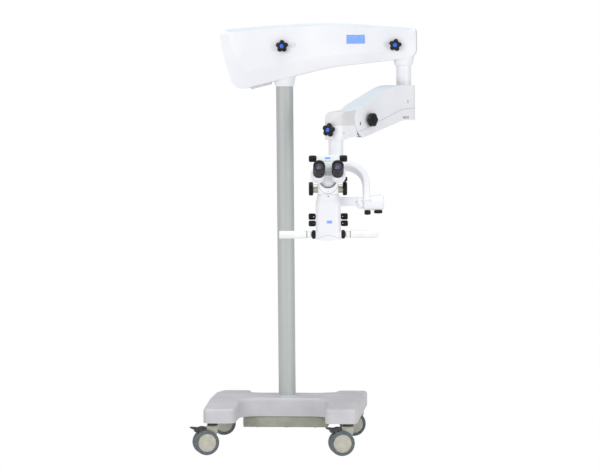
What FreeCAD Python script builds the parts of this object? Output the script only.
import FreeCAD, Part

import math
import os
import re

import Sketcher

# Surgical microscope on a caster stand.
# Millimetres, +Z up, the origin on the floor under the middle of the whole stand.

V = FreeCAD.Vector
doc = FreeCAD.newDocument("SurgicalMicroscope")
sheet = doc.addObject("Spreadsheet::Sheet", "Sizes")

SIZES = [
    ("play", 0.4, "gap between pieces that move past each other"),
    ("seat", 0.2, "gap at a seat between two pieces"),
    ("fit", 0.04, "radial clearance of a shaft in its hole"),
    # Stand
    ("column_x", -88, "column axis, from the middle of the whole"),
    ("column_y", 142, "column axis, from the middle of the whole"),
    ("base_half", 310, "half the length and width of the base"),
    ("leg_inner", 182, "inner side of a leg, from the column axis"),
    ("waist_half", 90, "half the depth of the waist between the legs"),
    ("waist_round", 70, "radius where a leg meets the waist"),
    ("leg_round", 26, "radius of the outer corners of a leg"),
    ("base_bottom", 128, "lower edge of the base cover"),
    ("base_top", 204, "top of the base cover at the waist"),
    ("leg_end_top", 185, "top of the base cover at the ends of its legs"),
    ("cover_wall", 5, "wall of the base cover"),
    ("edge_round", 12, "radius of the upper edge of the base cover"),
    ("frame_bottom", 140, "underside of the steel base frame"),
    ("frame_top", 170, "top of the frame's legs"),
    ("channel_inner", 212, "inner side of a frame leg"),
    ("channel_outer", 297.5, "outer side of a frame leg"),
    ("channel_half", 299, "half the length of a frame leg"),
    ("cross_half", 66, "half the depth of the frame's cross member"),
    ("socket_d", 96, "outside of the socket that holds the column"),
    ("socket_top", 196, "top of the column socket"),
    ("ballast_half", 174, "half the width of the ballast"),
    ("ballast_deep", 82, "half the depth of the ballast"),
    ("ballast_bottom", 82, "underside of the ballast"),
    ("column_d", 70, "column outside"),
    ("column_wall", 4, "column wall"),
    ("column_foot", 144, "lower end of the column in its socket"),
    ("column_top", 1475, "upper end of the column"),
    ("pivot_d", 50, "spindle on top of the column"),
    ("pivot_top", 1545, "top of that spindle"),
    # Casters
    ("caster_x", 274, "caster axes from the column axis, across"),
    ("caster_y", 282, "caster axes from the column axis, front to back"),
    ("caster_trail", 28, "axle behind the swivel axis"),
    ("wheel_d", 100, "caster wheel"),
    ("disc_d", 73, "wheel centre inside its tyre"),
    ("wheel_gap", 15, "between the two wheels of a caster"),
    ("wheel_w", 21, "width of one wheel"),
    ("axle_d", 10, "caster axle"),
    ("collar_d", 40, "swivel collar of a caster"),
    ("collar_bottom", 116, "underside of the swivel collar"),
    ("stem_d", 12, "caster stem"),
    ("stem_top", 164, "top of the caster stem"),
    ("lever_w", 32, "width of the brake pedal"),
    # Boom
    ("boom_left", -262, "left end of the boom"),
    ("boom_right", 541, "right end of the boom"),
    ("boom_half", 64, "half the thickness of the boom"),
    ("boom_rim_depth", 48, "depth of the rim where the bevel of the face starts"),
    ("boom_wall", 4, "wall of the boom covers"),
    ("beam_half", 38, "half the width of the boom's beam"),
    ("beam_web", 10, "web of that beam"),
    ("boom_end_top", 1706, "top of the boom at its ends"),
    ("boom_crown", 1738, "top of the boom at its middle"),
    ("boom_bend", 189, "where the underside of the boom changes its slope, from the column axis"),
    ("boom_belly", 1552, "underside of the boom at that bend"),
    ("boom_low", 1458, "lowest corner of the boom, by the column"),
    ("neck_d", 76, "boom neck above the column"),
    ("neck_flare_d", 94, "boom neck where it enters the covers"),
    ("neck_flare_z", 1518, "height of the widest neck"),
    ("drop_x", 488, "drop axis from the column axis"),
    ("collar_top_d", 84, "drop collar, upper end"),
    ("collar_low_d", 71, "drop collar, lower end"),
    ("collar_low_z", 1556, "drop collar, lower end"),
    ("collar_top_z", 1584, "drop collar, where its taper ends"),
    ("drop_d", 60, "drop tube"),
    ("drop_spindle_d", 44, "spindle of the drop tube in the boom"),
    ("drop_spindle_top", 1668, "top of the drop spindle"),
    ("star_d", 52, "star knobs"),
    ("star_h", 24, "height of a star knob"),
    ("boom_knob_left", -1, "knob that locks the boom's swing, from the column axis"),
    ("boom_knob_right", 459, "knob that locks the arm's swing, from the column axis"),
    ("boom_knob_z", 1638, "height of the two knobs of the boom"),
    # Parallel arm
    ("arm_turn", 234.5, "direction of the arm, from the boom's right"),
    ("arm_reach", 430, "drop axis to head axis"),
    ("arm_half", 45, "half the width of the arm"),
    ("arm_wall", 4, "wall of the arm covers"),
    ("arm_top", 1476, "top of the arm at the drop axis"),
    ("arm_low", 1335, "underside of the arm at the drop axis"),
    ("arm_front_top", 1381, "top of the arm at its front"),
    ("arm_front_low", 1271, "underside of the arm at its front"),
    ("rear_z", 1417, "upper rear pivot"),
    ("front_x", 282.5, "front pivots from the drop axis"),
    ("front_z", 1347, "upper front pivot"),
    ("link_gap", 40, "lower pivots below the upper pivots"),
    ("mouth_r", 84, "front edge of the arm, about the upper front pivot"),
    ("link_h", 25, "height of a link"),
    ("link_half", 19, "half the width of a link"),
    ("plate_half", 12, "half the thickness of the pivot plates"),
    ("pin_d", 10, "pivot pins"),
    ("coupling_d", 84, "front coupling"),
    ("coupling_low", 1264, "underside of the front coupling"),
    ("cap_low", 1320, "lower edge of the coupling cap"),
    ("head_knob_turn", 12, "turn of the head lock knob to the arm's left"),
    ("head_knob_z", 1303, "height of the head lock knob"),
    ("lift_knob_x", 275, "arm lock knob from the drop axis"),
    ("lift_knob_z", 1340, "height of the arm lock knob"),
    ("cap_top", 1379, "top of the coupling cap"),
    # Head
    ("head_turn", 6, "turn of the head to the viewer's right"),
    ("head_x", -34, "middle of the head from the head axis"),
    ("head_tube_d", 58, "head tube"),
    ("head_spindle_d", 40, "head spindle in the coupling"),
    ("head_tube_low", 1146, "lower end of the head tube"),
    ("arc_lean", 33, "lean of the C-arm towards the viewer"),
    ("arc_reach", 117, "end of the C-arm to the right of the head axis"),
    ("arc_r", 88, "radius of the C-arm"),
    ("arc_thick", 27, "section of the C-arm, across its bend"),
    ("arc_wide", 48, "section of the C-arm, along its bend axis"),
    ("tilt_y", -68, "tilt axis in front of the head axis"),
    ("tilt_z", 1016, "tilt axis"),
    ("housing_d", 58, "pivot housing"),
    ("housing_left", 106, "pivot housing, left end"),
    ("housing_right", 185, "pivot housing, right end"),
    ("carrier_d", 44, "boss of the carrier beside the housing"),
    ("carrier_h", 34, "height of the carrier"),
    ("body_y", -95, "middle of the microscope body"),
    ("body_low_w", 97, "microscope body, width at its lower end"),
    ("body_top_w", 80, "microscope body, width at its shoulder"),
    ("body_low_deep", 104, "microscope body, depth at its lower end"),
    ("body_top_deep", 84, "microscope body, depth at its shoulder"),
    ("body_low", 874, "lower end of the body"),
    ("chin", 9, "rise of the body's lower edge towards its sides"),
    ("body_top", 1053, "shoulder of the body"),
    ("drum_z", 1074, "magnification shaft"),
    ("drum_y", -80, "magnification shaft from the head axis"),
    ("drum_in", 58, "inner face of a magnification disc"),
    ("drum_out", 75, "outer face of a magnification disc"),
    ("drum_d", 52, "magnification discs"),
    ("hub_d", 33, "bright hubs beside the body"),
    ("shaft_d", 12, "control shafts"),
    ("small_knob_d", 23, "small control knobs"),
    ("small_knob_in", 50, "inner face of a small knob"),
    ("small_knob_out", 77, "outer face of a small knob"),
    ("upper_knob_y", -84, "upper control shaft from the head axis"),
    ("upper_knob_z", 965, "upper control shaft"),
    ("lower_knob_y", -100, "lower control shaft from the head axis"),
    ("lower_knob_z", 939, "lower control shaft"),
    ("handle_z", 897, "handle axis"),
    ("handle_y", -120, "handle axis from the head axis"),
    ("handle_case_d", 40, "handle crosspiece"),
    ("handle_case_out", 50, "end of the handle crosspiece"),
    ("handle_root", 36, "inner end of a handle bar"),
    ("ring_d", 33, "handle locking rings"),
    ("grip_in", 69, "inner end of a grip"),
    ("grip_out", 193, "outer end of a grip"),
    ("grip_d", 30, "grips"),
    ("objective_d", 74, "objective ring"),
    ("lens_d", 60, "objective lens"),
    ("ring_low", 878, "lower end of the objective ring"),
    ("ring_top", 892, "upper end of the objective ring"),
    # Binocular
    ("bino_y", -100, "binocular tilt axis from the head axis"),
    ("bino_z", 1112, "binocular tilt axis"),
    ("ball_r", 34, "rounded knuckle of the binocular"),
    ("ball_half", 33, "half the width of that knuckle"),
    ("cheek_out", 40, "outer face of the cheeks beside the knuckle"),
    ("eye_lift", 28, "rise of the eyepieces"),
    ("eye_x", 36, "eyepiece from the middle of the head"),
    ("eye_face", 80.5, "front of the prism housings from the tilt axis, along the eyepieces"),
    ("eye_up", -11.5, "eyepiece axis above the tilt axis, across the eyepieces"),
    ("lobe_r", 27.5, "prism housings"),
    ("lobe_x", 41, "prism housing from the middle of the head"),
    ("lobe_long", 40, "length of a prism housing"),
    ("barrel_d", 45, "eyepiece barrel"),
    ("barrel_long", 50, "eyepiece barrel in front of its prism housing"),
    ("cup_long", 16, "eyecup in front of the barrel"),
    ("bino_top", 63, "top of the binocular's case above the tilt axis, across the eyepieces"),
    ("bino_deep", 27, "height of that case"),
    ("bino_half", 45, "half the width of the binocular's upper case"),
    ("ipd_along", 76, "shaft of the eye distance knobs from the tilt axis, along the eyepieces"),
    ("ipd_up", 52, "the same, across the eyepieces"),
    ("ipd_out", 75, "outer face of those knobs"),
]

for row, (name, size, note) in enumerate(SIZES, 1):
    sheet.set("A%d" % row, name)
    sheet.set("B%d" % row, str(size))
    sheet.set("C%d" % row, note)
    sheet.setAlias("B%d" % row, name)
doc.recompute()

NAMES = {name for name, size, note in SIZES}
NODES = {}


def bound(text):
    """An expression in which each size's name points at its cell of the sheet."""
    return re.sub(
        r"[a-z_]+",
        lambda word: "Sizes." + word.group() if word.group() in NAMES else word.group(),
        str(text),
    )


def number(text):
    """The value of an expression in plain millimetres or degrees."""
    return float(sheet.evalExpression(bound(text)))


def frame(label, x, y, z, turn="0", base=None, lean="0"):
    """A set of axes that pieces are placed in."""
    axes = doc.addObject("Part::LocalCoordinateSystem", label)
    place(axes, base, x, y, z, turn, "0", lean)
    return axes


def place(thing, axes=None, x="0", y="0", z="0", yaw="0", pitch="0", roll="0"):
    """Binds a Placement to a set of axes, a shift and three turns."""
    spot = "create(<<placement>>; create(<<vector>>; %s; %s; %s); create(<<rotation>>; %s; %s; %s))"
    text = spot % tuple(bound(part) for part in (x, y, z, yaw, pitch, roll))
    if axes is not None:
        text = axes.Name + ".Placement * " + text
    thing.setExpression("Placement", text)
    return thing


def hold(sketch, kind, geometry, point, text):
    """Holds one coordinate of a point of the sketch at a size."""
    if text == "0":
        axis = -2 if kind == "DistanceX" else -1
        sketch.addConstraint(Sketcher.Constraint("PointOnObject", geometry, point, axis))
        return
    index = sketch.addConstraint(
        Sketcher.Constraint(kind, -1, 1, geometry, point, number(text))
    )
    sketch.setExpression("Constraints[%d]" % index, bound(text))


def corner_round(before, corner, after, radius):
    """Where the round of a corner starts and ends, its middle, and whether it turns left."""
    back = (before - corner).normalize()
    ahead = (after - corner).normalize()
    half = back.getAngle(ahead) / 2
    start = corner + back * (radius / math.tan(half))
    end = corner + ahead * (radius / math.tan(half))
    middle = corner + (back + ahead).normalize() * (radius / math.sin(half))
    return start, end, middle, (ahead.cross(back)).z > 0


def draw(sketch, corners):
    """A closed outline of straight lines; a corner's third value is the radius of its round."""
    texts = [tuple(str(part) for part in corner) for corner in corners]
    points = [V(number(c[0]), number(c[1]), 0) for c in texts]
    count = len(points)
    starts, ends, arcs = [], [], []
    for i, corner in enumerate(texts):
        if len(corner) < 3:
            starts.append(points[i])
            ends.append(points[i])
            arcs.append(None)
            continue
        radius = number(corner[2])
        start, end, middle, left = corner_round(
            points[i - 1], points[i], points[(i + 1) % count], radius
        )
        starts.append(start)
        ends.append(end)
        arcs.append((middle, radius, left))
    lines = []
    for i in range(count):
        line = Part.LineSegment(ends[i], starts[(i + 1) % count])
        lines.append(sketch.addGeometry(line, False))
    for i, corner in enumerate(texts):
        before, after = lines[i - 1], lines[i]
        if arcs[i] is None:
            sketch.addConstraint(Sketcher.Constraint("Coincident", before, 2, after, 1))
            hold(sketch, "DistanceX", after, 1, corner[0])
            hold(sketch, "DistanceY", after, 1, corner[1])
            continue
        middle, radius, left = arcs[i]
        first, last = (starts[i], ends[i]) if left else (ends[i], starts[i])
        a = math.atan2(first.y - middle.y, first.x - middle.x)
        b = math.atan2(last.y - middle.y, last.x - middle.x)
        if b < a:
            b += 2 * math.pi
        circle = Part.Circle(middle, V(0, 0, 1), radius)
        arc = sketch.addGeometry(Part.ArcOfCircle(circle, a, b), False)
        point = sketch.addGeometry(Part.Point(points[i]), True)
        entry, leave = (1, 2) if left else (2, 1)
        sketch.addConstraint(Sketcher.Constraint("Tangent", before, 2, arc, entry))
        sketch.addConstraint(Sketcher.Constraint("Tangent", arc, leave, after, 1))
        index = sketch.addConstraint(Sketcher.Constraint("Radius", arc, radius))
        sketch.setExpression("Constraints[%d]" % index, bound(corner[2]))
        sketch.addConstraint(Sketcher.Constraint("PointOnObject", point, 1, before))
        sketch.addConstraint(Sketcher.Constraint("PointOnObject", point, 1, after))
        hold(sketch, "DistanceX", point, 1, corner[0])
        hold(sketch, "DistanceY", point, 1, corner[1])


def sketch_on(body, plane, shift="0"):
    """An empty sketch on one of the body's own origin planes, moved along its normal."""
    sketch = body.newObject("Sketcher::SketchObject", "Sketch")
    role = plane + "_Plane"
    support = [part for part in body.Origin.OriginFeatures if part.Role == role][0]
    sketch.AttachmentSupport = (support, [""])
    sketch.MapMode = "FlatFace"
    sketch.setExpression("AttachmentOffset.Base.z", bound(shift))
    return sketch


def outline(body, plane, corners, shift="0"):
    sketch = sketch_on(body, plane, shift)
    draw(sketch, corners)
    return sketch


def rings(body, plane, circles, shift="0"):
    """A sketch of circles, each given as x, y and diameter."""
    sketch = sketch_on(body, plane, shift)
    for x, y, across in circles:
        middle = V(number(x), number(y), 0)
        circle = Part.Circle(middle, V(0, 0, 1), number(across) / 2)
        index = sketch.addGeometry(circle, False)
        hold(sketch, "DistanceX", index, 3, str(x))
        hold(sketch, "DistanceY", index, 3, str(y))
        size = sketch.addConstraint(Sketcher.Constraint("Diameter", index, number(across)))
        sketch.setExpression("Constraints[%d]" % size, bound(across))
    return sketch


def body_of(label, axes=None, **spot):
    body = doc.addObject("PartDesign::Body", label)
    place(body, axes, **spot)
    return body


def node(label, thing):
    """Gives a finished piece the name of its node."""
    thing.Label = label
    NODES[label] = thing
    return thing


def pad(body, sketch, length, middle=False, back=False):
    feature = body.newObject("PartDesign::Pad", "Pad")
    feature.Profile = sketch
    feature.setExpression("Length", bound(length))
    feature.Midplane = middle
    feature.Reversed = back
    return feature


def pocket(body, sketch, length, middle=False, back=False):
    feature = body.newObject("PartDesign::Pocket", "Pocket")
    feature.Profile = sketch
    feature.setExpression("Length", bound(length))
    feature.Midplane = middle
    feature.Reversed = back
    return feature


def spin(body, corners, plane="XZ"):
    """Revolves an outline of radius and height about the body's Z axis."""
    sketch = outline(body, plane, corners)
    feature = body.newObject("PartDesign::Revolution", "Revolution")
    feature.Profile = sketch
    feature.ReferenceAxis = (sketch, ["V_Axis"])
    feature.Angle = 360
    return feature


def turned(label, corners, axes=None, **spot):
    """A turned piece; its corners are radius and height, and it stands on its own Z axis."""
    body = body_of(label, axes, **spot)
    spin(body, corners)
    return body


def plate(label, plane, corners, length, axes=None, middle=True, shift="0", **spot):
    """A piece cut from plate or bar to one outline."""
    body = body_of(label, axes, **spot)
    pad(body, outline(body, plane, corners, shift), length, middle)
    return body


def edges_where(body, test):
    doc.recompute()
    shape = body.Tip.Shape
    return ["Edge%d" % (i + 1) for i, edge in enumerate(shape.Edges) if test(edge)]


def finish_edges(body, kind, size, test):
    """Rounds or chamfers the edges that pass a test."""
    names = edges_where(body, test)
    base = body.Tip
    feature = body.newObject("PartDesign::" + kind, kind)
    feature.Base = (base, names)
    feature.setExpression("Radius" if kind == "Fillet" else "Size", bound(size))
    return feature


def along(edge, axis):
    """Whether an edge is a straight line along X, Y or Z."""
    if edge.Curve.TypeId != "Part::GeomLine":
        return False
    step = edge.Vertexes[-1].Point - edge.Vertexes[0].Point
    return abs(abs(getattr(step, axis)) - step.Length) < 1e-6


def level(edge, axis, height):
    """Whether the whole of an edge lies at one height along an axis."""
    box = edge.BoundBox
    low = getattr(box, axis.upper() + "Min")
    high = getattr(box, axis.upper() + "Max")
    return abs(low - height) < 1e-4 and abs(high - height) < 1e-4


def join(label, things):
    made = doc.addObject("Part::MultiFuse", label)
    made.Shapes = things
    made.Refine = True
    return made


def cut(label, base, tools):
    made = doc.addObject("Part::Cut", label)
    made.Base = base
    made.Tool = tools[0] if len(tools) == 1 else join(label + "_cutters", tools)
    made.Refine = True
    return made


def common(label, things):
    made = doc.addObject("Part::MultiCommon", label)
    made.Shapes = things
    return made


def rod(label, across, start, end, axes=None, x="0", y="0", z="0", axis="Z"):
    """A plain cylinder along X, Y or Z of a set of axes, from start to end."""
    made = doc.addObject("Part::Cylinder", label)
    made.setExpression("Radius", bound("(%s) / 2" % across))
    made.setExpression("Height", bound("(%s) - (%s)" % (end, start)))
    if axis == "Z":
        place(made, axes, x, y, start)
    elif axis == "X":
        place(made, axes, start, y, z, pitch="90")
    else:
        place(made, axes, x, end, z, roll="90")
    return made


def block(label, x, y, z, axes=None):
    """A plain box between two coordinates on each axis."""
    made = doc.addObject("Part::Box", label)
    for side, (low, high) in zip(("Length", "Width", "Height"), (x, y, z)):
        made.setExpression(side, bound("(%s) - (%s)" % (high, low)))
    place(made, axes, x[0], y[0], z[0])
    return made


STAND = frame("stand_axes", "column_x", "column_y", "0")
ARM = frame("arm_axes", "drop_x", "0", "0", "arm_turn", STAND)
KNOB = frame("head_knob_axes", "arm_reach", "0", "0", "head_knob_turn", ARM)
HEAD = frame("head_axes", "arm_reach", "0", "0", "head_turn - arm_turn", ARM)


def plan_of_base(inset):
    """Corners of the base seen from above, moved inwards by a wall."""
    far = "(base_half - %s)" % inset
    near = "(leg_inner + %s)" % inset
    waist = "(waist_half - %s)" % inset
    outer = "leg_round - %s" % inset
    hollow = "waist_round + %s" % inset
    corners = []
    for side_x, side_y in ((-1, -1), (1, -1), (1, 1), (-1, 1)):
        leg = [
            ("%d * %s" % (side_x, far), "%d * %s" % (side_y, far), outer),
            ("%d * %s" % (side_x, near), "%d * %s" % (side_y, far), outer),
            ("%d * %s" % (side_x, near), "%d * %s" % (side_y, waist), hollow),
        ]
        corners += leg if side_x == side_y else leg[::-1]
    return corners


def base_cover():
    """Moulded cover of the H-shaped base, hollow from below, its legs sloping to their ends."""
    body = body_of("base_cover_body", STAND)
    pad(body, outline(body, "XY", plan_of_base("0"), "base_bottom"), "base_top - base_bottom")
    for side in (-1, 1):
        end = "%d * (base_half + 10)" % side
        start = "%d * waist_half" % side
        low = "leg_end_top - 10 * (base_top - leg_end_top) / (base_half - waist_half)"
        wedge = [(start, "base_top"), (end, low), (end, "base_top + 10"), (start, "base_top + 10")]
        pocket(body, outline(body, "YZ", wedge), "4 * base_half", middle=True)
    top_edge = number("leg_end_top") - 5
    ridge = number("waist_half")
    finish_edges(
        body,
        "Fillet",
        "edge_round",
        lambda edge: edge.BoundBox.ZMin > top_edge
        and not (along(edge, "x") and abs(abs(edge.Vertexes[0].Y) - ridge) < 1 and
                 abs(abs(edge.Vertexes[0].X) - number("base_half")) < 1),
    )
    roof = "leg_end_top - cover_wall - 6 - base_bottom"
    pocket(body, outline(body, "XY", plan_of_base("cover_wall"), "base_bottom"), roof, back=True)
    inside = "leg_inner - 8"
    deep = "waist_half - cover_wall"
    waist = [("-(%s)" % inside, "-(%s)" % deep), (inside, "-(%s)" % deep), (inside, deep),
             ("-(%s)" % inside, deep)]
    height = "base_top - cover_wall - base_bottom"
    pocket(body, outline(body, "XY", waist, "base_bottom"), height, back=True)
    pocket(body, rings(body, "XY", [("0", "0", "column_d + 2 * play")], "base_bottom"),
           "base_top", back=True)
    node("base_cover", body)


def base_frame():
    """Welded steel frame: two leg channels, a cross member and the column socket."""
    pieces = []
    for side in (-1, 1):
        near, far = ("channel_inner", "channel_outer") if side > 0 else ("-channel_outer", "-channel_inner")
        pieces.append(block("frame_leg", (near, far), ("-channel_half", "channel_half"),
                            ("frame_bottom", "frame_top"), STAND))
    pieces.append(block("frame_cross", ("-channel_inner", "channel_inner"),
                        ("-cross_half", "cross_half"), ("frame_bottom", "frame_top"), STAND))
    pieces.append(rod("frame_socket", "socket_d", "frame_bottom", "socket_top", STAND))
    welded = join("frame_welded", pieces)
    inside = ("frame_bottom - 5", "frame_top - 7")
    hollows = [block("cross_hollow", ("-channel_inner + 8", "-socket_d / 2 - 8"),
                     ("-cross_half + 8", "cross_half - 8"), inside, STAND),
               block("cross_hollow", ("socket_d / 2 + 8", "channel_inner - 8"),
                     ("-cross_half + 8", "cross_half - 8"), inside, STAND)]
    for side in (-1, 1):
        near, far = "channel_inner + 8", "channel_outer - 8"
        if side < 0:
            near, far = "-(%s)" % far, "-(%s)" % near
        hollows.append(block("leg_hollow", (near, far), ("-channel_half + 48", "channel_half - 48"),
                             inside, STAND))
    holes = [rod("socket_bore", "column_d + 2 * fit", "column_foot", "socket_top + 5", STAND)]
    for side_x, side_y in WHEEL_SIDES:
        holes.append(rod("stem_hole", "stem_d + 2 * fit", "frame_bottom - 5", "stem_top + 2", STAND,
                         "%d * caster_x" % side_x, "%d * caster_y" % side_y))
    node("base_frame", cut("base_frame_cut", welded, holes + hollows))


def ballast():
    """Cast-iron weight bolted under the cross member."""
    x, y = "ballast_half", "ballast_deep"
    body = body_of("ballast_body", STAND)
    plan = [("-" + x, "-" + y, "4"), (x, "-" + y, "4"), (x, y, "4"), ("-" + x, y, "4")]
    pad(body, outline(body, "XY", plan, "ballast_bottom"), "frame_bottom - seat - ballast_bottom")
    low = number("ballast_bottom")
    finish_edges(body, "Chamfer", "3", lambda edge: level(edge, "z", low))
    node("ballast_weight", body)


def column():
    """Extruded column with a turned plug that carries the boom's spindle."""
    outer, inner = "column_d / 2", "column_d / 2 - column_wall"
    profile = [
        ("0", "column_top - 40"), (inner, "column_top - 40"), (inner, "column_foot + seat"),
        (outer, "column_foot + seat"), (outer, "column_top"), ("pivot_d / 2", "column_top"),
        ("pivot_d / 2", "pivot_top - 2"), ("pivot_d / 2 - 2", "pivot_top"), ("0", "pivot_top"),
    ]
    node("column_tube", turned("column_body", profile, STAND))


WHEEL_SIDES = [(-1, -1), (1, -1), (-1, 1), (1, 1)]
WHEEL_NAMES = ["front_left", "front_right", "rear_left", "rear_right"]
WHEEL_TURNS = [200, 195, 190, 205]


def caster(name, side_x, side_y, turn):
    """A twin-wheel caster: fork with stem, two wheels on one axle, and a brake pedal."""
    axes = frame("caster_axes_" + name, "%d * caster_x" % side_x, "%d * caster_y" % side_y, "0",
                 str(turn), STAND)
    axle_z = "wheel_d / 2"
    stem = turned("caster_stem", [
        ("0", "collar_bottom"), ("collar_d / 2", "collar_bottom"),
        ("collar_d / 2", "frame_bottom - seat"), ("stem_d / 2", "frame_bottom - seat"),
        ("stem_d / 2", "stem_top"), ("0", "stem_top")], axes)
    web = plate("caster_web", "XZ", [
        ("-collar_d / 2", "collar_bottom"), ("-collar_d / 2", "collar_bottom - 26"),
        ("-4", "wheel_d / 2 + 4"), ("caster_trail + 30", "wheel_d / 2 + 10"),
        ("caster_trail + 22", "wheel_d + 3", "5"), ("caster_trail + 2", "wheel_d + 11", "4"),
        ("collar_d / 2", "collar_bottom")], "wheel_gap - 4 * play", axes)
    disc = rod("caster_disc", "wheel_d - 8", "-(wheel_gap / 2 - 2 * play)",
               "wheel_gap / 2 - 2 * play", axes, "caster_trail", z=axle_z, axis="Y")
    joined = join("caster_fork_joined", [stem, web, disc])
    axle_hole = rod("axle_hole", "axle_d + 2 * fit", "-wheel_gap", "wheel_gap", axes,
                    "caster_trail", z=axle_z, axis="Y")
    pin_hole = rod("lever_pin_hole", "5 + 2 * fit", "-wheel_gap", "wheel_gap", axes,
                   "caster_trail + 5", z="wheel_d + 4", axis="Y")
    node("caster_fork_" + name, cut("caster_fork_cut", joined, [axle_hole, pin_hole]))
    near, far = "wheel_gap / 2", "wheel_gap / 2 + wheel_w"
    rim, tread = "disc_d / 2", "wheel_d / 2"
    hub_profile = [
        ("0", "-(%s) + 2" % far), (rim + " - 3", "-(%s)" % far), (rim, "-(%s) + 2" % far),
        (rim, "-(%s)" % near), ("axle_d / 2", "-(%s)" % near), ("axle_d / 2", near), (rim, near),
        (rim, far + " - 2"), (rim + " - 3", far), ("0", far + " - 2"),
    ]
    spot = dict(x="caster_trail", z=axle_z, roll="90")
    node("caster_hubs_" + name, turned("caster_hub_body", hub_profile, axes, **spot))
    tyres = []
    for side in (-1, 1):
        inner = rim + " + fit"
        profile = [(inner, "%d * (%s)" % (side, near)), (tread, "%d * (%s)" % (side, near), "5"),
                   (tread, "%d * (%s)" % (side, far), "5"), (inner, "%d * (%s)" % (side, far))]
        tyres.append(turned("caster_tyre", profile, axes, **spot))
    node("caster_tyres_" + name, join("caster_tyre_pair", tyres))
    lever = plate("lever_plate", "XZ", [
        ("caster_trail - 3", "wheel_d + 3.5"), ("caster_trail + 1", "wheel_d + 12", "2"),
        ("caster_trail + 15", "wheel_d + 14", "4"), ("caster_trail + 32", "wheel_d + 10", "6"),
        ("caster_trail + 62", "wheel_d + 13", "1"), ("caster_trail + 62", "wheel_d + 8", "1"),
        ("caster_trail + 48", "wheel_d + 4", "3"), ("caster_trail + 45", "wheel_d - 8", "2"),
        ("caster_trail + 32", "wheel_d - 3", "3")], "lever_w", axes)
    slot = plate("lever_slot", "XZ", [
        ("caster_trail - 20", "wheel_d - 30"), ("caster_trail - 20", "wheel_d + 40"),
        ("caster_trail + 27", "wheel_d + 40"), ("caster_trail + 27", "wheel_d - 30")],
        "wheel_gap - 2 * play", axes)
    pin = rod("lever_pin", "5", "-lever_w / 2", "lever_w / 2", axes, "caster_trail + 5",
              z="wheel_d + 4", axis="Y")
    slotted = cut("lever_cut", lever, [slot])
    node("brake_pedal_" + name, join("lever_joined", [slotted, pin]))


def boom_corners(inset="0"):
    """Corners of the boom seen from the front."""
    return [
        ("boom_left + %s" % inset, "boom_end_top - 1.1 * (%s)" % inset, "26"),
        ("137", "boom_crown - (%s)" % inset, "2600"),
        ("boom_right - (%s)" % inset, "boom_end_top - (%s)" % inset, "16"),
        ("boom_right - (%s)" % inset, "boom_belly + 37 + (%s)" % inset, "38"),
        ("boom_bend", "boom_belly + (%s)" % inset, "700"),
        ("boom_left + 59 + 0.8 * (%s)" % inset, "boom_low + 1.2 * (%s)" % inset, "50"),
        ("boom_left + 11 + (%s)" % inset, "boom_low + 164", "300"),
    ]


def boom_cover(label, side):
    """Half of the boom casing: a deep rim, a bevelled face round a raised panel, hollow inside."""
    body = body_of(label + "_body", STAND)
    start = "-play / 2" if side > 0 else "play / 2"
    front = side < 0
    sketch = outline(body, "XZ", boom_corners(), start if side > 0 else start)
    pad(body, sketch, "boom_rim_depth - play / 2", back=not front)
    rim = outline(body, "XZ", boom_corners(), "%d * boom_rim_depth" % -side)
    panel = outline(body, "XZ", boom_panel(), "%d * boom_half" % -side)
    loft = body.newObject("PartDesign::AdditiveLoft", "Face")
    loft.Profile = rim
    loft.Sections = [panel]
    loft.Ruled = True
    hollow = outline(body, "XZ", boom_corners("boom_wall"), start)
    pocket(body, hollow, "boom_rim_depth - play / 2", back=front)
    inner = outline(body, "XZ", boom_panel("boom_wall"), start)
    pocket(body, inner, "boom_half - boom_wall - play / 2", back=front)
    return body


def boom_panel(inset="0"):
    """Corners of the raised panel on each face of the boom."""
    return [
        ("boom_left + 36 + %s" % inset, "boom_end_top - 11 - (%s)" % inset, "12"),
        ("137", "boom_crown - 13 - (%s)" % inset, "2500"),
        ("boom_right - 24 - (%s)" % inset, "boom_end_top - 9 - (%s)" % inset, "10"),
        ("boom_right - 24 - (%s)" % inset, "boom_belly + 66 + (%s)" % inset, "26"),
        ("boom_bend", "boom_belly + 48 + (%s)" % inset, "700"),
        ("boom_left + 92 + 0.8 * (%s)" % inset, "boom_low + 76 + 1.2 * (%s)" % inset, "20"),
        ("boom_left + 56 + (%s)" % inset, "boom_low + 176", "300"),
    ]


def neck_profile(low, gap="0"):
    """Neck of the boom, from its lower end to the spindle of the column."""
    return [
        ("0", low), ("neck_d / 2 + %s" % gap, low), ("neck_d / 2 + %s" % gap, "column_top + 4"),
        ("neck_flare_d / 2 + %s" % gap, "neck_flare_z"),
        ("neck_flare_d / 2 + %s" % gap, "pivot_top + 20 + %s" % gap),
        ("0", "pivot_top + 20 + %s" % gap),
    ]


def collar_profile(low, gap="0"):
    """Tapered collar round the drop tube's spindle."""
    return [
        ("0", low), ("collar_low_d / 2 + %s" % gap, low),
        ("collar_top_d / 2 + %s" % gap, "collar_top_z"),
        ("collar_top_d / 2 + %s" % gap, "collar_top_z + 40 + %s" % gap),
        ("0", "collar_top_z + 40 + %s" % gap),
    ]


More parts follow.
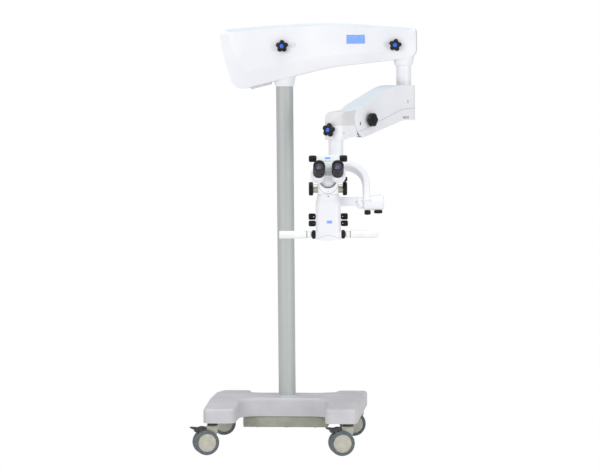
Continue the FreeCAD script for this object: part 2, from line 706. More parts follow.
def boom():
    """Boom casting with its neck and drop collar, in a two-part casing."""
    beam = plate("boom_web", "XZ", [
        ("-120", "neck_flare_z + 4"), ("60", "boom_belly + 4"), ("drop_x + 24", "boom_belly + 54"),
        ("drop_x + 24", "drop_spindle_top + 12", "12"), ("120", "boom_crown - 24"),
        ("-150", "boom_end_top - 20", "20")], "2 * beam_half", STAND)
    low = "boom_belly + 34"
    bays = [(-108, -46, "neck_flare_z + 26"), (44, 150, "boom_belly + 22"), (162, 268, low),
            (280, 386, low + " + 12")]
    for side in (-1, 1):
        for left, right, floor in bays:
            bay = [(str(left), floor, "8"), (str(right), floor + " + 8", "8"),
                   (str(right), "boom_crown - 46", "8"), (str(left), "boom_crown - 50", "8")]
            sketch = outline(beam, "XZ", bay, "%d * beam_half" % side)
            pocket(beam, sketch, "beam_half - beam_web / 2", back=side < 0)
    neck = turned("boom_neck", neck_profile("column_top + seat"), STAND)
    collar = turned("boom_collar", collar_profile("collar_low_z"), STAND, x="drop_x")
    joined = join("boom_joined", [beam, neck, collar])
    bores = [
        rod("column_bore", "pivot_d + 2 * fit", "column_top - 5", "pivot_top + seat", STAND),
        rod("drop_bore", "drop_spindle_d + 2 * fit", "collar_low_z - 5", "drop_spindle_top + seat",
            STAND, "drop_x"),
    ]
    for x in ("boom_knob_left", "boom_knob_right"):
        bores.append(rod("knob_bore", "10 + 2 * fit", "-60", "-29", STAND, x, z="boom_knob_z", axis="Y"))
    node("boom_beam", cut("boom_cut", joined, bores))
    for label, side in (("boom_front_cover", -1), ("boom_rear_cover", 1)):
        cover = boom_cover(label, side)
        openings = [turned("neck_opening", neck_profile("column_top - 10", "play"), STAND),
                    turned("collar_opening", collar_profile("collar_low_z - 10", "play"), STAND,
                           x="drop_x")]
        if side < 0:
            for x in ("boom_knob_left", "boom_knob_right"):
                openings.append(rod("knob_way", "10 + 2 * play", "-100", "-20", STAND, x,
                                    z="boom_knob_z", axis="Y"))
        node(label, cut(label + "_cut", cover, openings))


def star_knob(label, axes, stem="6", **spot):
    """A five-lobed knob with a round cap, on a short threaded stem."""
    body = body_of(label + "_body", axes, **spot)
    spin(body, [
        ("0", "0"), ("5", "0"), ("5", stem), ("star_d / 2 - 12", stem),
        ("star_d / 2", stem + " + 6", "3"), ("star_d / 2", stem + " + star_h - 8", "4"),
        ("star_d / 2 - 7", stem + " + star_h - 3", "3"), ("star_d / 5", stem + " + star_h - 3"),
        ("star_d / 5", stem + " + star_h", "1"), ("0", stem + " + star_h")])
    doc.recompute()
    scallop = rings(body, "XY", [("star_d / 2 + 2.5", "0", "20")], "star_h + 20")
    groove = pocket(body, scallop, "star_h + 30")
    doc.recompute()
    pattern = body.newObject("PartDesign::PolarPattern", "Lobes")
    pattern.Originals = [groove]
    pattern.Axis = (scallop, ["N_Axis"])
    pattern.Angle = 360
    pattern.Occurrences = 5
    body.Tip = pattern
    return node(label, body)


def drop_tube():
    """Drop tube: spindle in the boom, tube, and the plate that carries the rear pivots."""
    tube = turned("drop_tube_body", [
        ("0", "arm_top - 24"), ("drop_d / 2", "arm_top - 24"), ("drop_d / 2", "collar_low_z - play"),
        ("drop_spindle_d / 2", "collar_low_z - play"),
        ("drop_spindle_d / 2", "drop_spindle_top - 2"), ("drop_spindle_d / 2 - 2", "drop_spindle_top"),
        ("0", "drop_spindle_top")], ARM)
    node("drop_tube", tube)


def pivot_plate(label, x, upper, reach="0"):
    """Corners of a plate round an upper and a lower pivot, with its round ends."""
    r = "(link_h / 2 + 1)"
    low = "(%s - link_gap)" % upper
    return [
        ("%s - %s" % (x, r), "%s - %s" % (low, r), r + " - 0.5"),
        ("%s + %s" % (x, r), "%s - %s" % (low, r), r + " - 0.5"),
        ("%s + %s" % (x, r), "%s + %s" % (upper, r), r + " - 0.5"),
        ("%s - %s" % (x, r), "%s + %s" % (upper, r), r + " - 0.5"),
    ]


def rear_bracket():
    """Flange under the drop tube and the plate with the two rear pivots."""
    flange = rod("bracket_flange", "drop_d", "rear_z + link_h / 2 + 8", "arm_top - 24 - seat", ARM)
    tongue = block("bracket_tongue", ("-link_h / 2", "link_h / 2"), ("-plate_half", "plate_half"),
                   ("rear_z", "rear_z + link_h / 2 + 9"), ARM)
    ears = plate("bracket_plate", "XZ", pivot_plate("rear", "0", "rear_z"), "2 * plate_half", ARM)
    joined = join("bracket_joined", [flange, tongue, ears])
    holes = [rod("bracket_hole", "pin_d + 2 * fit", "-2 * plate_half", "2 * plate_half", ARM, "0",
                 z=z, axis="Y") for z in ("rear_z", "rear_z - link_gap")]
    node("arm_rear_bracket", cut("bracket_cut", joined, holes))


def pins(label, x, upper):
    """Upper and lower pivot pins at one end of the arm."""
    made = [rod("pivot_pin", "pin_d", "-link_half - 1", "link_half + 1", ARM, x, z=z, axis="Y")
            for z in (upper, "%s - link_gap" % upper)]
    node(label, join(label + "_pair", made))


def link(label, drop):
    """A channel link with a clevis at each end, between a rear and a front pivot."""
    slope = "atan((rear_z - front_z) / front_x)"
    long = "sqrt((rear_z - front_z) ^ 2 + front_x ^ 2)"
    spot = dict(z="rear_z - %s" % drop, pitch=slope)
    r = "link_h / 2"
    ends = [("-" + r, "-" + r, r + " - 0.5"), (long + " + " + r, "-" + r, r + " - 0.5"),
            (long + " + " + r, r, r + " - 0.5"), ("-" + r, r, r + " - 0.5")]
    bar = plate(label + "_bar", "XZ", ends, "2 * link_half", ARM, **spot)
    near, far = "link_h + 12", long + " - link_h - 12"
    inside = "2 * (plate_half + play)"
    for low, high, left, right in (
        ("-link_h", "link_h", "-link_h", near), ("-link_h", "link_h", far, long + " + link_h"),
        ("-link_h", "link_h / 2 - 5", near + " - 1", far + " + 1")):
        hollow = [(left, low), (right, low), (right, high), (left, high)]
        pocket(bar, outline(bar, "XZ", hollow), inside, middle=True)
    holes = [("0", "0", "pin_d + 2 * fit"), (long, "0", "pin_d + 2 * fit")]
    pocket(bar, rings(bar, "XZ", holes), "4 * link_half", middle=True)
    return bar, spot, long


def arm_links():
    upper, spot, long = link("upper_link", "0")
    lugs = []
    for x in ("62", long + " - 62"):
        lugs.append(plate("spring_lug", "XZ", [
            (x + " - 7", "link_h / 2 - 3"), (x + " + 7", "link_h / 2 - 3"),
            (x + " + 7", "link_h / 2 + 18", "6"), (x + " - 7", "link_h / 2 + 18", "6")],
            "12", ARM, **spot))
    joined = join("upper_link_joined", [upper] + lugs)
    pin_spots = [("62", "link_h / 2 + 10"), (long + " - 62", "link_h / 2 + 10")]
    holes = []
    for x, z in pin_spots:
        hole = body_of("lug_hole", ARM, **spot)
        pad(hole, rings(hole, "XZ", [(x, z, "6 + 2 * fit")]), "40", middle=True)
        holes.append(hole)
    node("arm_upper_link", cut("upper_link_cut", joined, holes))
    lower, spot, long = link("lower_link", "link_gap")
    node("arm_lower_link", lower)
    return pin_spots


def balance_spring(pin_spots):
    """Gas spring that carries the head's weight: barrel, rod and an eye with a pin at each end."""
    spot = dict(z="rear_z", pitch="atan((rear_z - front_z) / front_x)")
    long = "sqrt((rear_z - front_z) ^ 2 + front_x ^ 2)"
    z = "link_h / 2 + 10"
    barrel = body_of("spring_barrel", ARM, z="rear_z", pitch="90 deg + atan((rear_z - front_z) / front_x)")
    first, last = "62 + 11", long + " - 62 - 11"
    shift = "-(%s)" % z
    sketch = rings(barrel, "XY", [(shift, "0", "16")], first)
    pad(barrel, sketch, "(%s) - (%s) - 60" % (last, first))
    thin = rings(barrel, "XY", [(shift, "0", "7")], "(%s) - 61" % last)
    pad(barrel, thin, "61")
    pieces = [barrel]
    for x, _ in pin_spots:
        fork = plate("spring_fork", "XZ", [
            ("%s - 12" % x, z + " - 6", "5"), ("%s + 12" % x, z + " - 6", "5"),
            ("%s + 12" % x, z + " + 6", "5"), ("%s - 12" % x, z + " + 6", "5")], "20", ARM, **spot)
        hollow = [("%s - 8.5" % x, z + " - 12"), ("%s + 8.5" % x, z + " - 12"),
                  ("%s + 8.5" % x, z + " + 12"), ("%s - 8.5" % x, z + " + 12")]
        pocket(fork, outline(fork, "XZ", hollow), "12 + 2 * play", middle=True)
        pin = body_of("spring_pin", ARM, **spot)
        pad(pin, rings(pin, "XZ", [(x, z, "6")]), "20", middle=True)
        pieces += [fork, pin]
    node("balance_spring", join("spring_joined", pieces))


def arm_side(inset="0"):
    """Corners of the arm seen from its side, between its crowned top and its underside."""
    rear = "-arm_half - 10"
    return [
        (rear, "arm_low + %s" % inset), ("arm_half + 16", "arm_low + %s" % inset, "60"),
        ("front_x + 36", "arm_front_low - 2 + %s" % inset, "24"),
        ("front_x + mouth_r + 20", "arm_front_low - 4 + %s" % inset),
        ("front_x + mouth_r + 20", "arm_front_top - 30 - %s" % inset),
        ("front_x + 44", "arm_front_top + 13 - %s" % inset, "150"),
        ("108", "arm_top + 1 - %s" % inset, "260"), ("30", "arm_top - %s" % inset, "60"),
        (rear, "arm_top - %s" % inset),
    ]


def arm_plan(label, inset, extra="0"):
    """Arm seen from above: a round rear end about the drop axis and straight sides."""
    half = "(arm_half - %s)" % inset
    return plate(label, "XY", [
        ("-" + half, "-" + half, half + " - 0.5"), ("front_x + mouth_r + 10", "-" + half),
        ("front_x + mouth_r + 10", half), ("-" + half, half, half + " - 0.5")],
        "arm_top + 20 - 1200", ARM, middle=False, shift="1200")


def arm_shell():
    """The closed outer form of the arm less its hollow."""
    outer = common("arm_outer", [
        plate("arm_outer_side", "XZ", arm_side(), "4 * arm_half", ARM),
        arm_plan("arm_outer_plan", "0"),
        join("arm_outer_mouth", [
            rod("arm_mouth", "2 * mouth_r", "-arm_half", "arm_half", ARM, "front_x", z="front_z", axis="Y"),
            block("arm_rear", ("-2 * arm_half", "front_x"), ("-2 * arm_half", "2 * arm_half"),
                  ("1200", "1600"), ARM)])])
    inner = common("arm_inner", [
        plate("arm_inner_side", "XZ", arm_side("arm_wall"), "4 * arm_half", ARM),
        arm_plan("arm_inner_plan", "arm_wall")])
    notch = join("arm_notch", [
        block("arm_notch_top", ("-2 * arm_half", "34"), ("-drop_d / 2 - 1.5", "drop_d / 2 + 1.5"),
              ("rear_z + 10", "arm_top + 40"), ARM),
        rod("arm_notch_end", "drop_d + 3", "rear_z + 10", "arm_top + 40", ARM, "40")])
    mouth = block("arm_mouth_slot", ("front_x + 8", "front_x + mouth_r + 30"),
                  ("-plate_half - 2", "plate_half + 2"), ("arm_front_low - 20", "front_z - 20"), ARM)
    return cut("arm_hollow", outer, [inner, notch, mouth])


def arm_covers():
    """Upper and lower cover of the arm, split along a line that follows its slope."""
    shell = arm_shell()
    split = [("-100", "arm_low + 52"), ("70", "arm_low + 44", "300"),
             ("front_x + 40", "arm_front_low + 26", "200"), ("front_x + 200", "arm_front_low + 4")]
    above = split + [("front_x + 200", "1600"), ("-100", "1600")]
    below = [(x, "%s - play / 2" % rest[0], *rest[1:]) for x, *rest in split]
    below += [("front_x + 200", "1150"), ("-100", "1150")]
    for label, corners in (("arm_upper_cover", above), ("arm_lower_cover", below)):
        side = plate(label + "_side", "XZ", corners, "6 * arm_half", ARM)
        part = common(label + "_half", [shell, side])
        hole = rod("lock_hole", "10 + 2 * fit", "30", "60", ARM, "lift_knob_x", z="lift_knob_z", axis="Y")
        node(label, cut(label + "_cut", part, [hole]))


def front_coupling():
    """Coupling that stays level: pivot plate and neck, round block, and the bore of the head tube."""
    half = "coupling_d / 2"
    rear = "front_x + 66"
    plan = [(rear, "-" + half), ("arm_reach + " + half, "-" + half, half + " - 0.5"),
            ("arm_reach + " + half, half, half + " - 0.5"), (rear, half)]
    knuckle = rod("coupling_knuckle", "2 * (mouth_r + 2 * play)", "-100", "100", ARM, "front_x",
                  z="front_z", axis="Y")
    solid = plate("coupling_solid", "XY", plan, "cap_low - seat - coupling_low", ARM, middle=False,
                  shift="coupling_low")
    round_block = cut("coupling_block", solid, [knuckle])
    ears = plate("coupling_ears", "XZ", pivot_plate("front", "front_x", "front_z"), "2 * plate_half - 2", ARM)
    neck = plate("coupling_neck", "XZ", [
        ("front_x", "front_z - link_gap + 8"), ("front_x", "front_z - link_gap - 8"),
        ("front_x + 68", "coupling_low + 12"), ("arm_reach - 20", "coupling_low + 12"),
        ("arm_reach - 20", "coupling_low + 44"), ("front_x + 40", "front_z - 26")],
        "2 * plate_half - 2", ARM)
    joined = join("coupling_joined", [round_block, ears, neck])
    holes = [rod("coupling_hole", "pin_d + 2 * fit", "-30", "30", ARM, "front_x", z="front_z", axis="Y"),
             rod("coupling_hole", "pin_d + 2 * play", "-30", "30", ARM, "front_x",
                 z="front_z - link_gap", axis="Y"),
             rod("coupling_bore", "head_spindle_d + 2 * fit", "coupling_low - 5", "cap_low + 10", ARM,
                 "arm_reach"),
             rod("knob_hole", "10 + 2 * fit", "0", "80", KNOB, z="head_knob_z", axis="X"),
             block("coupling_step", ("front_x", "arm_reach - 24"), ("-60", "60"),
                   ("coupling_low - 5", "coupling_low + 10"), ARM)]
    node("front_coupling", cut("coupling_cut", joined, holes))
    cap_body = plate("cap_body", "XY", plan, "cap_top - cap_low", ARM, middle=False, shift="cap_low")
    slope = [("front_x", "cap_top + 20"), ("front_x + mouth_r - 6", "cap_top"),
             ("arm_reach - 8", "cap_top - 6", "60"), ("arm_reach + 24", "cap_top - 22", "30"),
             ("arm_reach + 46", "cap_top - 52"), ("arm_reach + 60", "cap_top + 20")]
    top = plate("cap_slope", "XZ", slope, "200", ARM)
    knuckle_two = rod("cap_knuckle", "2 * (mouth_r + 2 * play)", "-100", "100", ARM, "front_x",
                      z="front_z", axis="Y")
    bore = rod("cap_bore", "head_spindle_d + 6", "cap_low - 5", "cap_low + 12", ARM, "arm_reach")
    node("coupling_cap", cut("cap_cut", cap_body, [top, knuckle_two, bore]))


def head_yoke():
    """Head tube, the leaning C-arm and the housing of the tilt pivot, cast in one."""
    tube = turned("head_tube_body", [
        ("0", "head_tube_low"), ("head_tube_d / 2 - 8", "head_tube_low"),
        ("head_tube_d / 2", "head_tube_low + 8"), ("head_tube_d / 2", "coupling_low - play"),
        ("head_spindle_d / 2", "coupling_low - play"), ("head_spindle_d / 2", "cap_low + 4"),
        ("0", "cap_low + 4")], HEAD)
    arc = body_of("c_arm_body", HEAD, y="8", z="head_tube_low + arc_thick / 2 + 2", roll="-arc_lean")
    path = sketch_on(arc, "XZ")
    bend = V(number("arc_reach - arc_r"), 0, 0)
    radius = number("arc_r")
    drop = number("(head_tube_low + arc_thick / 2 + 2 - tilt_z) / cos(arc_lean)")
    first = path.addGeometry(Part.LineSegment(V(0, 0, 0), bend), False)
    curve = Part.ArcOfCircle(Part.Circle(bend - V(0, radius, 0), V(0, 0, 1), radius), 0, math.pi / 2)
    second = path.addGeometry(curve, False)
    low = V(bend.x + radius, -drop, 0)
    third = path.addGeometry(Part.LineSegment(V(bend.x + radius, -radius, 0), low), False)
    for item in (
        Sketcher.Constraint("Coincident", first, 1, -1, 1),
        Sketcher.Constraint("Horizontal", first),
        Sketcher.Constraint("Tangent", first, 2, second, 2),
        Sketcher.Constraint("Tangent", second, 1, third, 1),
    ):
        path.addConstraint(item)
    sizes = [("Radius", second, None, "arc_r"), ("DistanceX", third, 2, "arc_reach"),
             ("DistanceY", third, 2, "-(head_tube_low + arc_thick / 2 + 2 - tilt_z) / cos(arc_lean)")]
    for kind, geometry, point, text in sizes:
        if point is None:
            made = Sketcher.Constraint(kind, geometry, number(text))
        else:
            made = Sketcher.Constraint(kind, -1, 1, geometry, point, number(text))
        index = path.addConstraint(made)
        path.setExpression("Constraints[%d]" % index, bound(text))
    high, wide = "arc_thick / 2", "arc_wide / 2"
    section = outline(arc, "YZ", [("-" + wide, "-" + high, "8"), (wide, "-" + high, "8"),
                                  (wide, high, "8"), ("-" + wide, high, "8")])
    sweep = arc.newObject("PartDesign::AdditivePipe", "Sweep")
    sweep.Profile = section
    sweep.Spine = (path, ["Edge1", "Edge2", "Edge3"])
    housing = turned("pivot_housing", [
        ("0", "housing_left"), ("housing_d / 2 - 2", "housing_left"), ("housing_d / 2", "housing_left + 2"),
        ("housing_d / 2", "housing_right - 4", "3"), ("housing_d / 2 - 4", "housing_right"),
        ("0", "housing_right")], HEAD, y="tilt_y", z="tilt_z", pitch="90")
    bump = rod("housing_bump", "26", "tilt_z", "tilt_z + housing_d / 2 + 4", HEAD, "housing_left + 55", "tilt_y")
    joined = join("yoke_joined", [tube, arc, housing, bump])
    bore = rod("tilt_bore", "24 + 2 * fit", "housing_left - 90", "housing_right - 12", HEAD, y="tilt_y",
               z="tilt_z", axis="X")
    clear = rod("carrier_clear", "carrier_d + 12", "40", "housing_left", HEAD, y="tilt_y", z="tilt_z",
                axis="X")
    low_holes = [rod("lock_hole", "8 + 2 * fit", "tilt_z - 50", "tilt_z - 19", HEAD, x, "tilt_y")
                 for x in ("housing_left + 15", "housing_left + 57")]
    node("head_yoke", cut("yoke_cut", joined, [bore, clear] + low_holes))


def under_knob(label, x, across, height):
    """A ribbed knob that screws up into the pivot housing."""
    node(label, turned(label + "_body", [
        ("0", "5"), ("4", "5"), ("4", "14"), ("%s / 2 - 2" % across, "14"),
        ("%s / 2" % across, "16"), ("%s / 2" % across, "14 + %s - 3" % height, "2"),
        ("%s / 2 - 4" % across, "14 + %s" % height), ("0", "14 + %s" % height)],
        HEAD, x=x, y="tilt_y", z="tilt_z - housing_d / 2 + 13.7", roll="180"))


def side_shaft(label, z, y, inner, outer, across, shaft, ends=2):
    """A shaft across the body with a knob on each end."""
    rim = "(%s) / 2" % across
    knob = [(rim + " - 2", inner), (rim, inner + " + 2"), (rim, outer + " - 3", "2"),
            (rim + " - 3", outer)]
    mirror = [(c[0], "-(%s)" % c[1], *c[2:]) for c in reversed(knob)]
    corners = [("0", "-(%s)" % outer)] + mirror + [("%s / 2" % shaft, "-(%s)" % inner),
               ("%s / 2" % shaft, inner)] + knob + [("0", outer)]
    return turned(label + "_body", corners, HEAD, x="head_x", y=y, z=z, pitch="90")


def body_section(body, width, depth, height, radius):
    x, y = "%s / 2" % width, "%s / 2" % depth
    return outline(body, "XY", [("-" + x, "-" + y, radius), (x, "-" + y, radius), (x, y, radius),
                                ("-" + x, y, radius)], height)


def optics_body():
    """Microscope body: tapered case, seat of the binocular knuckle, and handle crosspiece."""
    case = body_of("optics_case", HEAD, x="head_x", y="body_y")
    low = body_section(case, "body_low_w", "body_low_deep", "body_low", "24")
    middle = body_section(case, "body_low_w", "body_low_deep", "body_low + 0.8 * (body_top - body_low)", "26")
    high = body_section(case, "body_top_w", "body_top_deep", "body_top", "28")
    first = case.newObject("PartDesign::AdditiveLoft", "Lower")
    first.Profile = low
    first.Sections = [middle]
    second = case.newObject("PartDesign::AdditiveLoft", "Upper")
    second.Profile = middle
    second.Sections = [high]
    for side in (-1, 1):
        corner = [("%d * 60" % side, "body_low - 5"), ("%d * 12" % side, "body_low - 5"),
                  ("%d * 12" % side, "body_low"), ("%d * 30" % side, "body_low + 0.3 * chin", "60"),
                  ("%d * 60" % side, "body_low + 1.3 * chin")]
        pocket(case, outline(case, "XZ", corner), "200", middle=True)
    x, y = "cheek_out", "body_top_deep / 2 - 4"
    fork = [("-" + x, "-(%s)" % y, "14"), (x, "-(%s)" % y, "14"), (x, y, "14"), ("-" + x, y, "14")]
    pad(case, outline(case, "XY", fork, "body_top"), "bino_z - body_top + 4")
    cheeks = rod("cheek_round", "2 * (body_top_deep / 2 - 6)", "-cheek_out", "cheek_out", HEAD, y="bino_y",
                 z="bino_z", axis="X")
    place(cheeks, HEAD, "head_x - cheek_out", "bino_y", "bino_z", pitch="90")
    handle = turned("handle_case", [
        ("0", "-handle_case_out"), ("handle_case_d / 2 - 3", "-handle_case_out"),
        ("handle_case_d / 2", "-handle_case_out + 3"), ("handle_case_d / 2", "handle_case_out - 3"),
        ("handle_case_d / 2 - 3", "handle_case_out"), ("0", "handle_case_out")],
        HEAD, x="head_x", y="handle_y", z="handle_z", pitch="90")
    carrier_seat = block("carrier_seat", ("head_x + 36", "head_x + 50"), ("tilt_y - 15", "tilt_y + 15"),
                         ("tilt_z + 3 - carrier_h / 2", "tilt_z + 9 + carrier_h / 2"), HEAD)
    joined = join("optics_joined", [case, cheeks, handle, carrier_seat])
    ball = doc.addObject("Part::Sphere", "knuckle_seat")
    ball.setExpression("Radius", bound("ball_r + 2 * play"))
    place(ball, HEAD, "head_x", "bino_y", "bino_z")
    room = "ball_r + 2 * play"
    slot = block("knuckle_slot", ("head_x - (%s)" % room, "head_x + %s" % room),
                 ("bino_y - 60", "bino_y + 60"), ("bino_z", "bino_z + 60"), HEAD)
    trough = rod("knuckle_trough", "2 * (%s)" % room, "bino_y - 60", "bino_y + 60", HEAD, "head_x",
                 z="bino_z", axis="Y")
    seat = join("knuckle_room", [ball, slot, trough])
    holes = [
        seat,
        rod("knuckle_bore", "16 + 2 * fit", "-90", "30", HEAD, y="bino_y", z="bino_z", axis="X"),
        rod("drum_bore", "shaft_d + 2 * fit", "-90", "30", HEAD, y="drum_y", z="drum_z", axis="X"),
        rod("upper_bore", "shaft_d + 2 * fit", "-90", "30", HEAD, y="upper_knob_y", z="upper_knob_z", axis="X"),
        rod("lower_bore", "shaft_d + 2 * fit", "-90", "30", HEAD, y="lower_knob_y", z="lower_knob_z", axis="X"),
        rod("handle_bore", "16 + 2 * fit", "head_x - 90", "head_x - handle_root + seat", HEAD,
            y="handle_y", z="handle_z", axis="X"),
        rod("handle_bore", "16 + 2 * fit", "head_x + handle_root - seat", "head_x + 90", HEAD,
            y="handle_y", z="handle_z", axis="X"),
        rod("light_way", "lens_d", "body_low - 10", "ring_top + 30", HEAD, "head_x", "body_y"),
        rod("ring_room", "objective_d + 2 * seat", "body_low - 10", "ring_top + seat", HEAD, "head_x",
            "body_y"),
    ]
    node("optics_body", cut("optics_cut", joined, holes))


def carrier():
    """Carrier: a shaft in the pivot housing, a boss, and an arm bolted to the body's side."""
    shaft = rod("carrier_shaft", "24", "60", "housing_right - 14", HEAD, y="tilt_y", z="tilt_z", axis="X")
    boss = turned("carrier_boss", [
        ("0", "housing_left - 26"), ("carrier_d / 2 - 6", "housing_left - 26"),
        ("carrier_d / 2", "housing_left - 20"),
        ("carrier_d / 2", "housing_left - play"), ("0", "housing_left - play")],
        HEAD, y="tilt_y", z="tilt_z", pitch="90")
    face = "head_x + 50 + seat"
    arm = plate("carrier_arm", "XZ", [
        (face, "tilt_z + 6 - carrier_h / 2"), ("housing_left - 42", "tilt_z + 6 - carrier_h / 2", "20"),
        ("housing_left - 18", "tilt_z - carrier_d / 2 + 2"),
        ("housing_left - 18", "tilt_z + 6 + carrier_h / 2"),
        (face, "tilt_z + 6 + carrier_h / 2")], "26", HEAD, y="tilt_y")
    doc.recompute()
    node("tilt_carrier", join("carrier_joined", [shaft, boss, arm]))


def handles():
    """Two handle bars set in the crosspiece, each with a locking ring and a grip."""
    spot = dict(x="head_x", y="handle_y", z="handle_z", pitch="90")
    made = []
    for side in (-1, 1):
        start = "handle_case_out + seat"
        ring = [("7.9", start), ("ring_d / 2 - 3", start), ("ring_d / 2", start + " + 3"),
                ("ring_d / 2", start + " + 12", "2"), ("ring_d / 2 - 5", start + " + 16"),
                ("7.9", start + " + 16")]
        ring = [(c[0], "%d * (%s)" % (side, c[1]), *c[2:]) for c in ring]
        made.append(turned("handle_ring", ring, HEAD, **spot))
        bar = [("0", "handle_root"), ("8", "handle_root"), ("8", "grip_out - 20"), ("0", "grip_out - 20")]
        bar = [(c[0], "%d * (%s)" % (side, c[1])) for c in bar]
        made.append(turned("handle_rod", bar, HEAD, **spot))
    node("handle_bar", join("handle_joined", made))
    for label, side in (("left_grip", -1), ("right_grip", 1)):
        grip = [("8 + fit", "grip_in"), ("12", "grip_in"), ("14", "grip_in + 2"), ("14", "grip_in + 12"),
                ("12.5", "grip_in + 14"), ("12.5", "grip_in + 17"), ("grip_d / 2", "grip_in + 20"),
                ("grip_d / 2", "grip_out - 3", "1.5"), ("grip_d / 2 - 3", "grip_out"),
                ("0", "grip_out"), ("0", "grip_out - 20 + seat"), ("8 + fit", "grip_out - 20 + seat")]
        grip = [(c[0], "%d * (%s)" % (side, c[1]), *c[2:]) for c in grip]
        node(label, turned(label + "_body", grip, HEAD, **spot))


def objective():
    """Screwed objective ring and the lens it holds under the light way."""
    spot = dict(x="head_x", y="body_y")
    node("objective_ring", turned("objective_body", [
        ("lens_d / 2 - 3", "ring_low + 2"), ("objective_d / 2 - 2", "ring_low"),
        ("objective_d / 2", "ring_low + 2"), ("objective_d / 2", "ring_top"),
        ("lens_d / 2 + fit", "ring_top"), ("lens_d / 2 + fit", "ring_low + 5"),
        ("lens_d / 2 - 3", "ring_low + 5")], HEAD, **spot))
    node("objective_lens", turned("objective_lens_body", [
        ("0", "ring_low + 3.5"), ("lens_d / 4", "ring_low + 4.2"), ("lens_d / 2 - 3.4", "ring_low + 5 + seat"),
        ("lens_d / 2", "ring_low + 5 + seat"), ("lens_d / 2", "ring_top - 1"), ("0", "ring_top - 1")],
        HEAD, **spot))


EYES = (("left", -1), ("right", 1))


def binocular():
    """Binocular: knuckle, case with the eye distance gear, sliding prism housings and eyepieces."""
    axes = frame("bino_axes", "head_x", "bino_y", "bino_z", "0", HEAD)
    line = frame("eye_axes", "0", "0", "0", "0", axes, "-eye_lift")
    ball = doc.addObject("Part::Sphere", "knuckle_ball")
    ball.setExpression("Radius", bound("ball_r"))
    place(ball, axes)
    side = block("knuckle_sides", ("-ball_half", "ball_half"), ("-60", "60"), ("-60", "60"), axes)
    knuckle = common("knuckle", [ball, side])
    trunnion = rod("trunnion", "16", "-cheek_out + 1", "cheek_out - 1", axes, axis="X")
    under = "eye_up + lobe_r + play"
    roof, floor = "bino_top", "bino_top - bino_deep"
    rear = "-(eye_face - lobe_long - play)"
    neck = plate("bino_neck", "YZ", [
        ("8", "-8", "6"), (rear, "-8", "6"), (rear, under), ("-eye_face", under),
        ("-eye_face", floor + " + 4"), ("-10", floor + " + 4", "10")], "2 * ball_half - 4", line)
    saddle = plate("bino_saddle", "YZ", [
        (rear + " - 1", under), ("-eye_face - play", under), ("-eye_face - play", floor + " + 4"),
        (rear + " - 1", floor + " + 4")], "2 * bino_half - 12", line)
    case = plate("bino_case", "YZ", [
        ("-18", floor, "8"), ("-eye_face - 8", floor, "3"), ("-eye_face - 8", roof, "6"),
        ("-34", roof, "16")], "2 * bino_half", line)
    for side in (-1, 1):
        face = side * number("bino_half")
        finish_edges(case, "Fillet", "4", lambda edge: level(edge, "x", face))
    shield = plate("bino_shield", "XZ", [
        ("-bino_half + 5", floor + " + 4"), ("-bino_half + 5", floor + " - 2", "4"), ("-9", "8", "14"),
        ("9", "8", "14"), ("bino_half - 5", floor + " - 2", "4"), ("bino_half - 5", floor + " + 4")],
        "5", line, middle=False, shift="eye_face + play")
    sweeps = []
    for name, sign in EYES:
        for x in ("eye_x + 1.5", "eye_x - 4.5", "eye_x - 10.5"):
            sweeps.append(rod("barrel_room", "barrel_d + 4 * play", "-eye_face - 30", "-eye_face + 10",
                              line, "%d * (%s)" % (sign, x), z="eye_up", axis="Y"))
    clipped = cut("bino_shield_cut", shield, sweeps)
    joined = join("bino_joined", [knuckle, trunnion, neck, saddle, case, clipped])
    bore = rod("ipd_bore", "8 + 2 * fit", "-100", "100", line, y="-ipd_along", z="ipd_up", axis="X")
    node("binocular_body", cut("bino_cut", joined, [bore]))
    for name, sign in EYES:
        x = "%d * eye_x" % sign
        lobe = turned("lobe", [
            ("0", "eye_face - lobe_long"), ("lobe_r - 4", "eye_face - lobe_long"),
            ("lobe_r", "eye_face - lobe_long + 4"), ("lobe_r", "eye_face - 3", "2"),
            ("lobe_r - 3", "eye_face"), ("0", "eye_face")],
            line, x="%d * lobe_x" % sign, z="eye_up", roll="90")
        barrel = turned("barrel", [
            ("0", "eye_face - 1"), ("barrel_d / 2", "eye_face - 1"),
            ("barrel_d / 2", "eye_face + barrel_long"), ("13", "eye_face + barrel_long"),
            ("13", "eye_face + 8"), ("0", "eye_face + 8")], line, x=x, z="eye_up", roll="90")
        node(name + "_eyepiece", join(name + "_eyepiece_joined", [lobe, barrel]))
        node(name + "_eyecup", turned(name + "_cup", [
            ("13", "eye_face + barrel_long + seat"), ("barrel_d / 2 + 0.8", "eye_face + barrel_long + seat"),
            ("barrel_d / 2 + 0.8", "eye_face + barrel_long + cup_long - 4", "3"),
            ("barrel_d / 2 - 3", "eye_face + barrel_long + cup_long"),
            ("15", "eye_face + barrel_long + cup_long - 5"), ("15", "eye_face + barrel_long + 4"),
            ("13", "eye_face + barrel_long + 3")], line, x=x, z="eye_up", roll="90"))
        node(name + "_ocular_lens", turned(name + "_lens", [
            ("0", "eye_face + barrel_long - 4"), ("13 - fit", "eye_face + barrel_long - 4"),
            ("13 - fit", "eye_face + barrel_long - 1"), ("8", "eye_face + barrel_long + 1"),
            ("0", "eye_face + barrel_long + 1.6")], line, x=x, z="eye_up", roll="90"))
    knob = [("10", "bino_half + seat"), ("12", "bino_half + 2"), ("12.5", "bino_half + 6"),
            ("12.5", "ipd_out - 3", "2"), ("9", "ipd_out")]
    mirror = [(c[0], "-(%s)" % c[1], *c[2:]) for c in reversed(knob)]
    corners = [("0", "-ipd_out")] + mirror + [("4", "-(bino_half + seat)"), ("4", "bino_half + seat")]
    corners += knob + [("0", "ipd_out")]
    node("eye_distance_knobs", turned("ipd_body", corners, line, y="-ipd_along", z="ipd_up", pitch="90"))


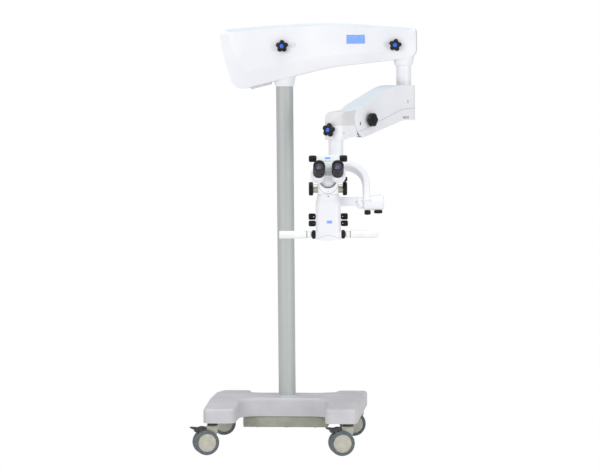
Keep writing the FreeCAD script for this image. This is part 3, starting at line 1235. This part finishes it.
def knobs():
    """The loose knobs of the stand and the head."""
    into_boom = "boom_half - 26"
    star_knob("boom_lock_knob", STAND, into_boom, x="boom_knob_left", y="-30", z="boom_knob_z", roll="90")
    star_knob("arm_swing_knob", STAND, into_boom, x="boom_knob_right", y="-30", z="boom_knob_z", roll="90")
    star_knob("head_swing_knob", KNOB, "11", x="coupling_d / 2 - 6", z="head_knob_z", pitch="90")
    star_knob("arm_lift_knob", ARM, "10", x="lift_knob_x", y="arm_half - 6", z="lift_knob_z", roll="-90")
    under_knob("tilt_lock_knob", "housing_left + 15", "24", "17")
    under_knob("balance_knob", "housing_left + 57", "32", "12")
    node("magnification_discs", join("drum_joined", [
        side_shaft("drum", "drum_z", "drum_y", "drum_in", "drum_out", "drum_d", "shaft_d"),
        hub("left"), hub("right")]))
    node("filter_knobs", side_shaft("filter", "upper_knob_z", "upper_knob_y", "small_knob_in",
                                    "small_knob_out", "small_knob_d + 1", "shaft_d"))
    node("aperture_knobs", side_shaft("aperture", "lower_knob_z", "lower_knob_y", "small_knob_in",
                                      "small_knob_out", "small_knob_d - 1", "shaft_d"))
    node("binocular_lock_knob", turned("bino_lock_body", [
        ("0", "cheek_out + seat"), ("12", "cheek_out + seat"), ("11", "cheek_out + 4"),
        ("4", "cheek_out + 5"), ("4", "58"), ("6", "58"), ("9", "62"),
        ("8", "76", "3"), ("0", "76")], HEAD, x="head_x", y="bino_y", z="bino_z", pitch="90"))


def hub(name):
    sign = -1 if name == "left" else 1
    inner, outer = "cheek_out + seat", "drum_in + 1"
    return turned("bright_hub_" + name, [
        ("shaft_d / 2 - 1", "%d * (%s)" % (sign, inner)), ("hub_d / 2", "%d * (%s)" % (sign, inner)),
        ("hub_d / 2", "%d * (%s)" % (sign, outer)), ("shaft_d / 2 - 1", "%d * (%s)" % (sign, outer))],
        HEAD, x="head_x", y="drum_y", z="drum_z", pitch="90")


base_cover()
base_frame()
ballast()
column()
for name, (side_x, side_y), turn in zip(WHEEL_NAMES, WHEEL_SIDES, WHEEL_TURNS):
    caster(name, side_x, side_y, turn)
boom()
drop_tube()
rear_bracket()
pins("rear_pivot_pins", "0", "rear_z")
pins("front_pivot_pins", "front_x", "front_z")
balance_spring(arm_links())
arm_covers()
front_coupling()
head_yoke()
optics_body()
carrier()
handles()
objective()
binocular()
knobs()
doc.recompute()

faults = [thing.Label for thing in doc.Objects if "Invalid" in thing.State or "Error" in thing.State]
if faults:
    raise SystemExit("these objects failed: " + ", ".join(faults))
os.makedirs("parts", exist_ok=True)
for label, thing in NODES.items():
    shape = thing.Shape
    if shape.isNull() or not shape.isValid() or shape.Volume <= 0:
        raise SystemExit("this piece is not a sound solid: " + label)
    shape.exportStep("parts/%s.step" % label)
print(len(NODES), "pieces written")
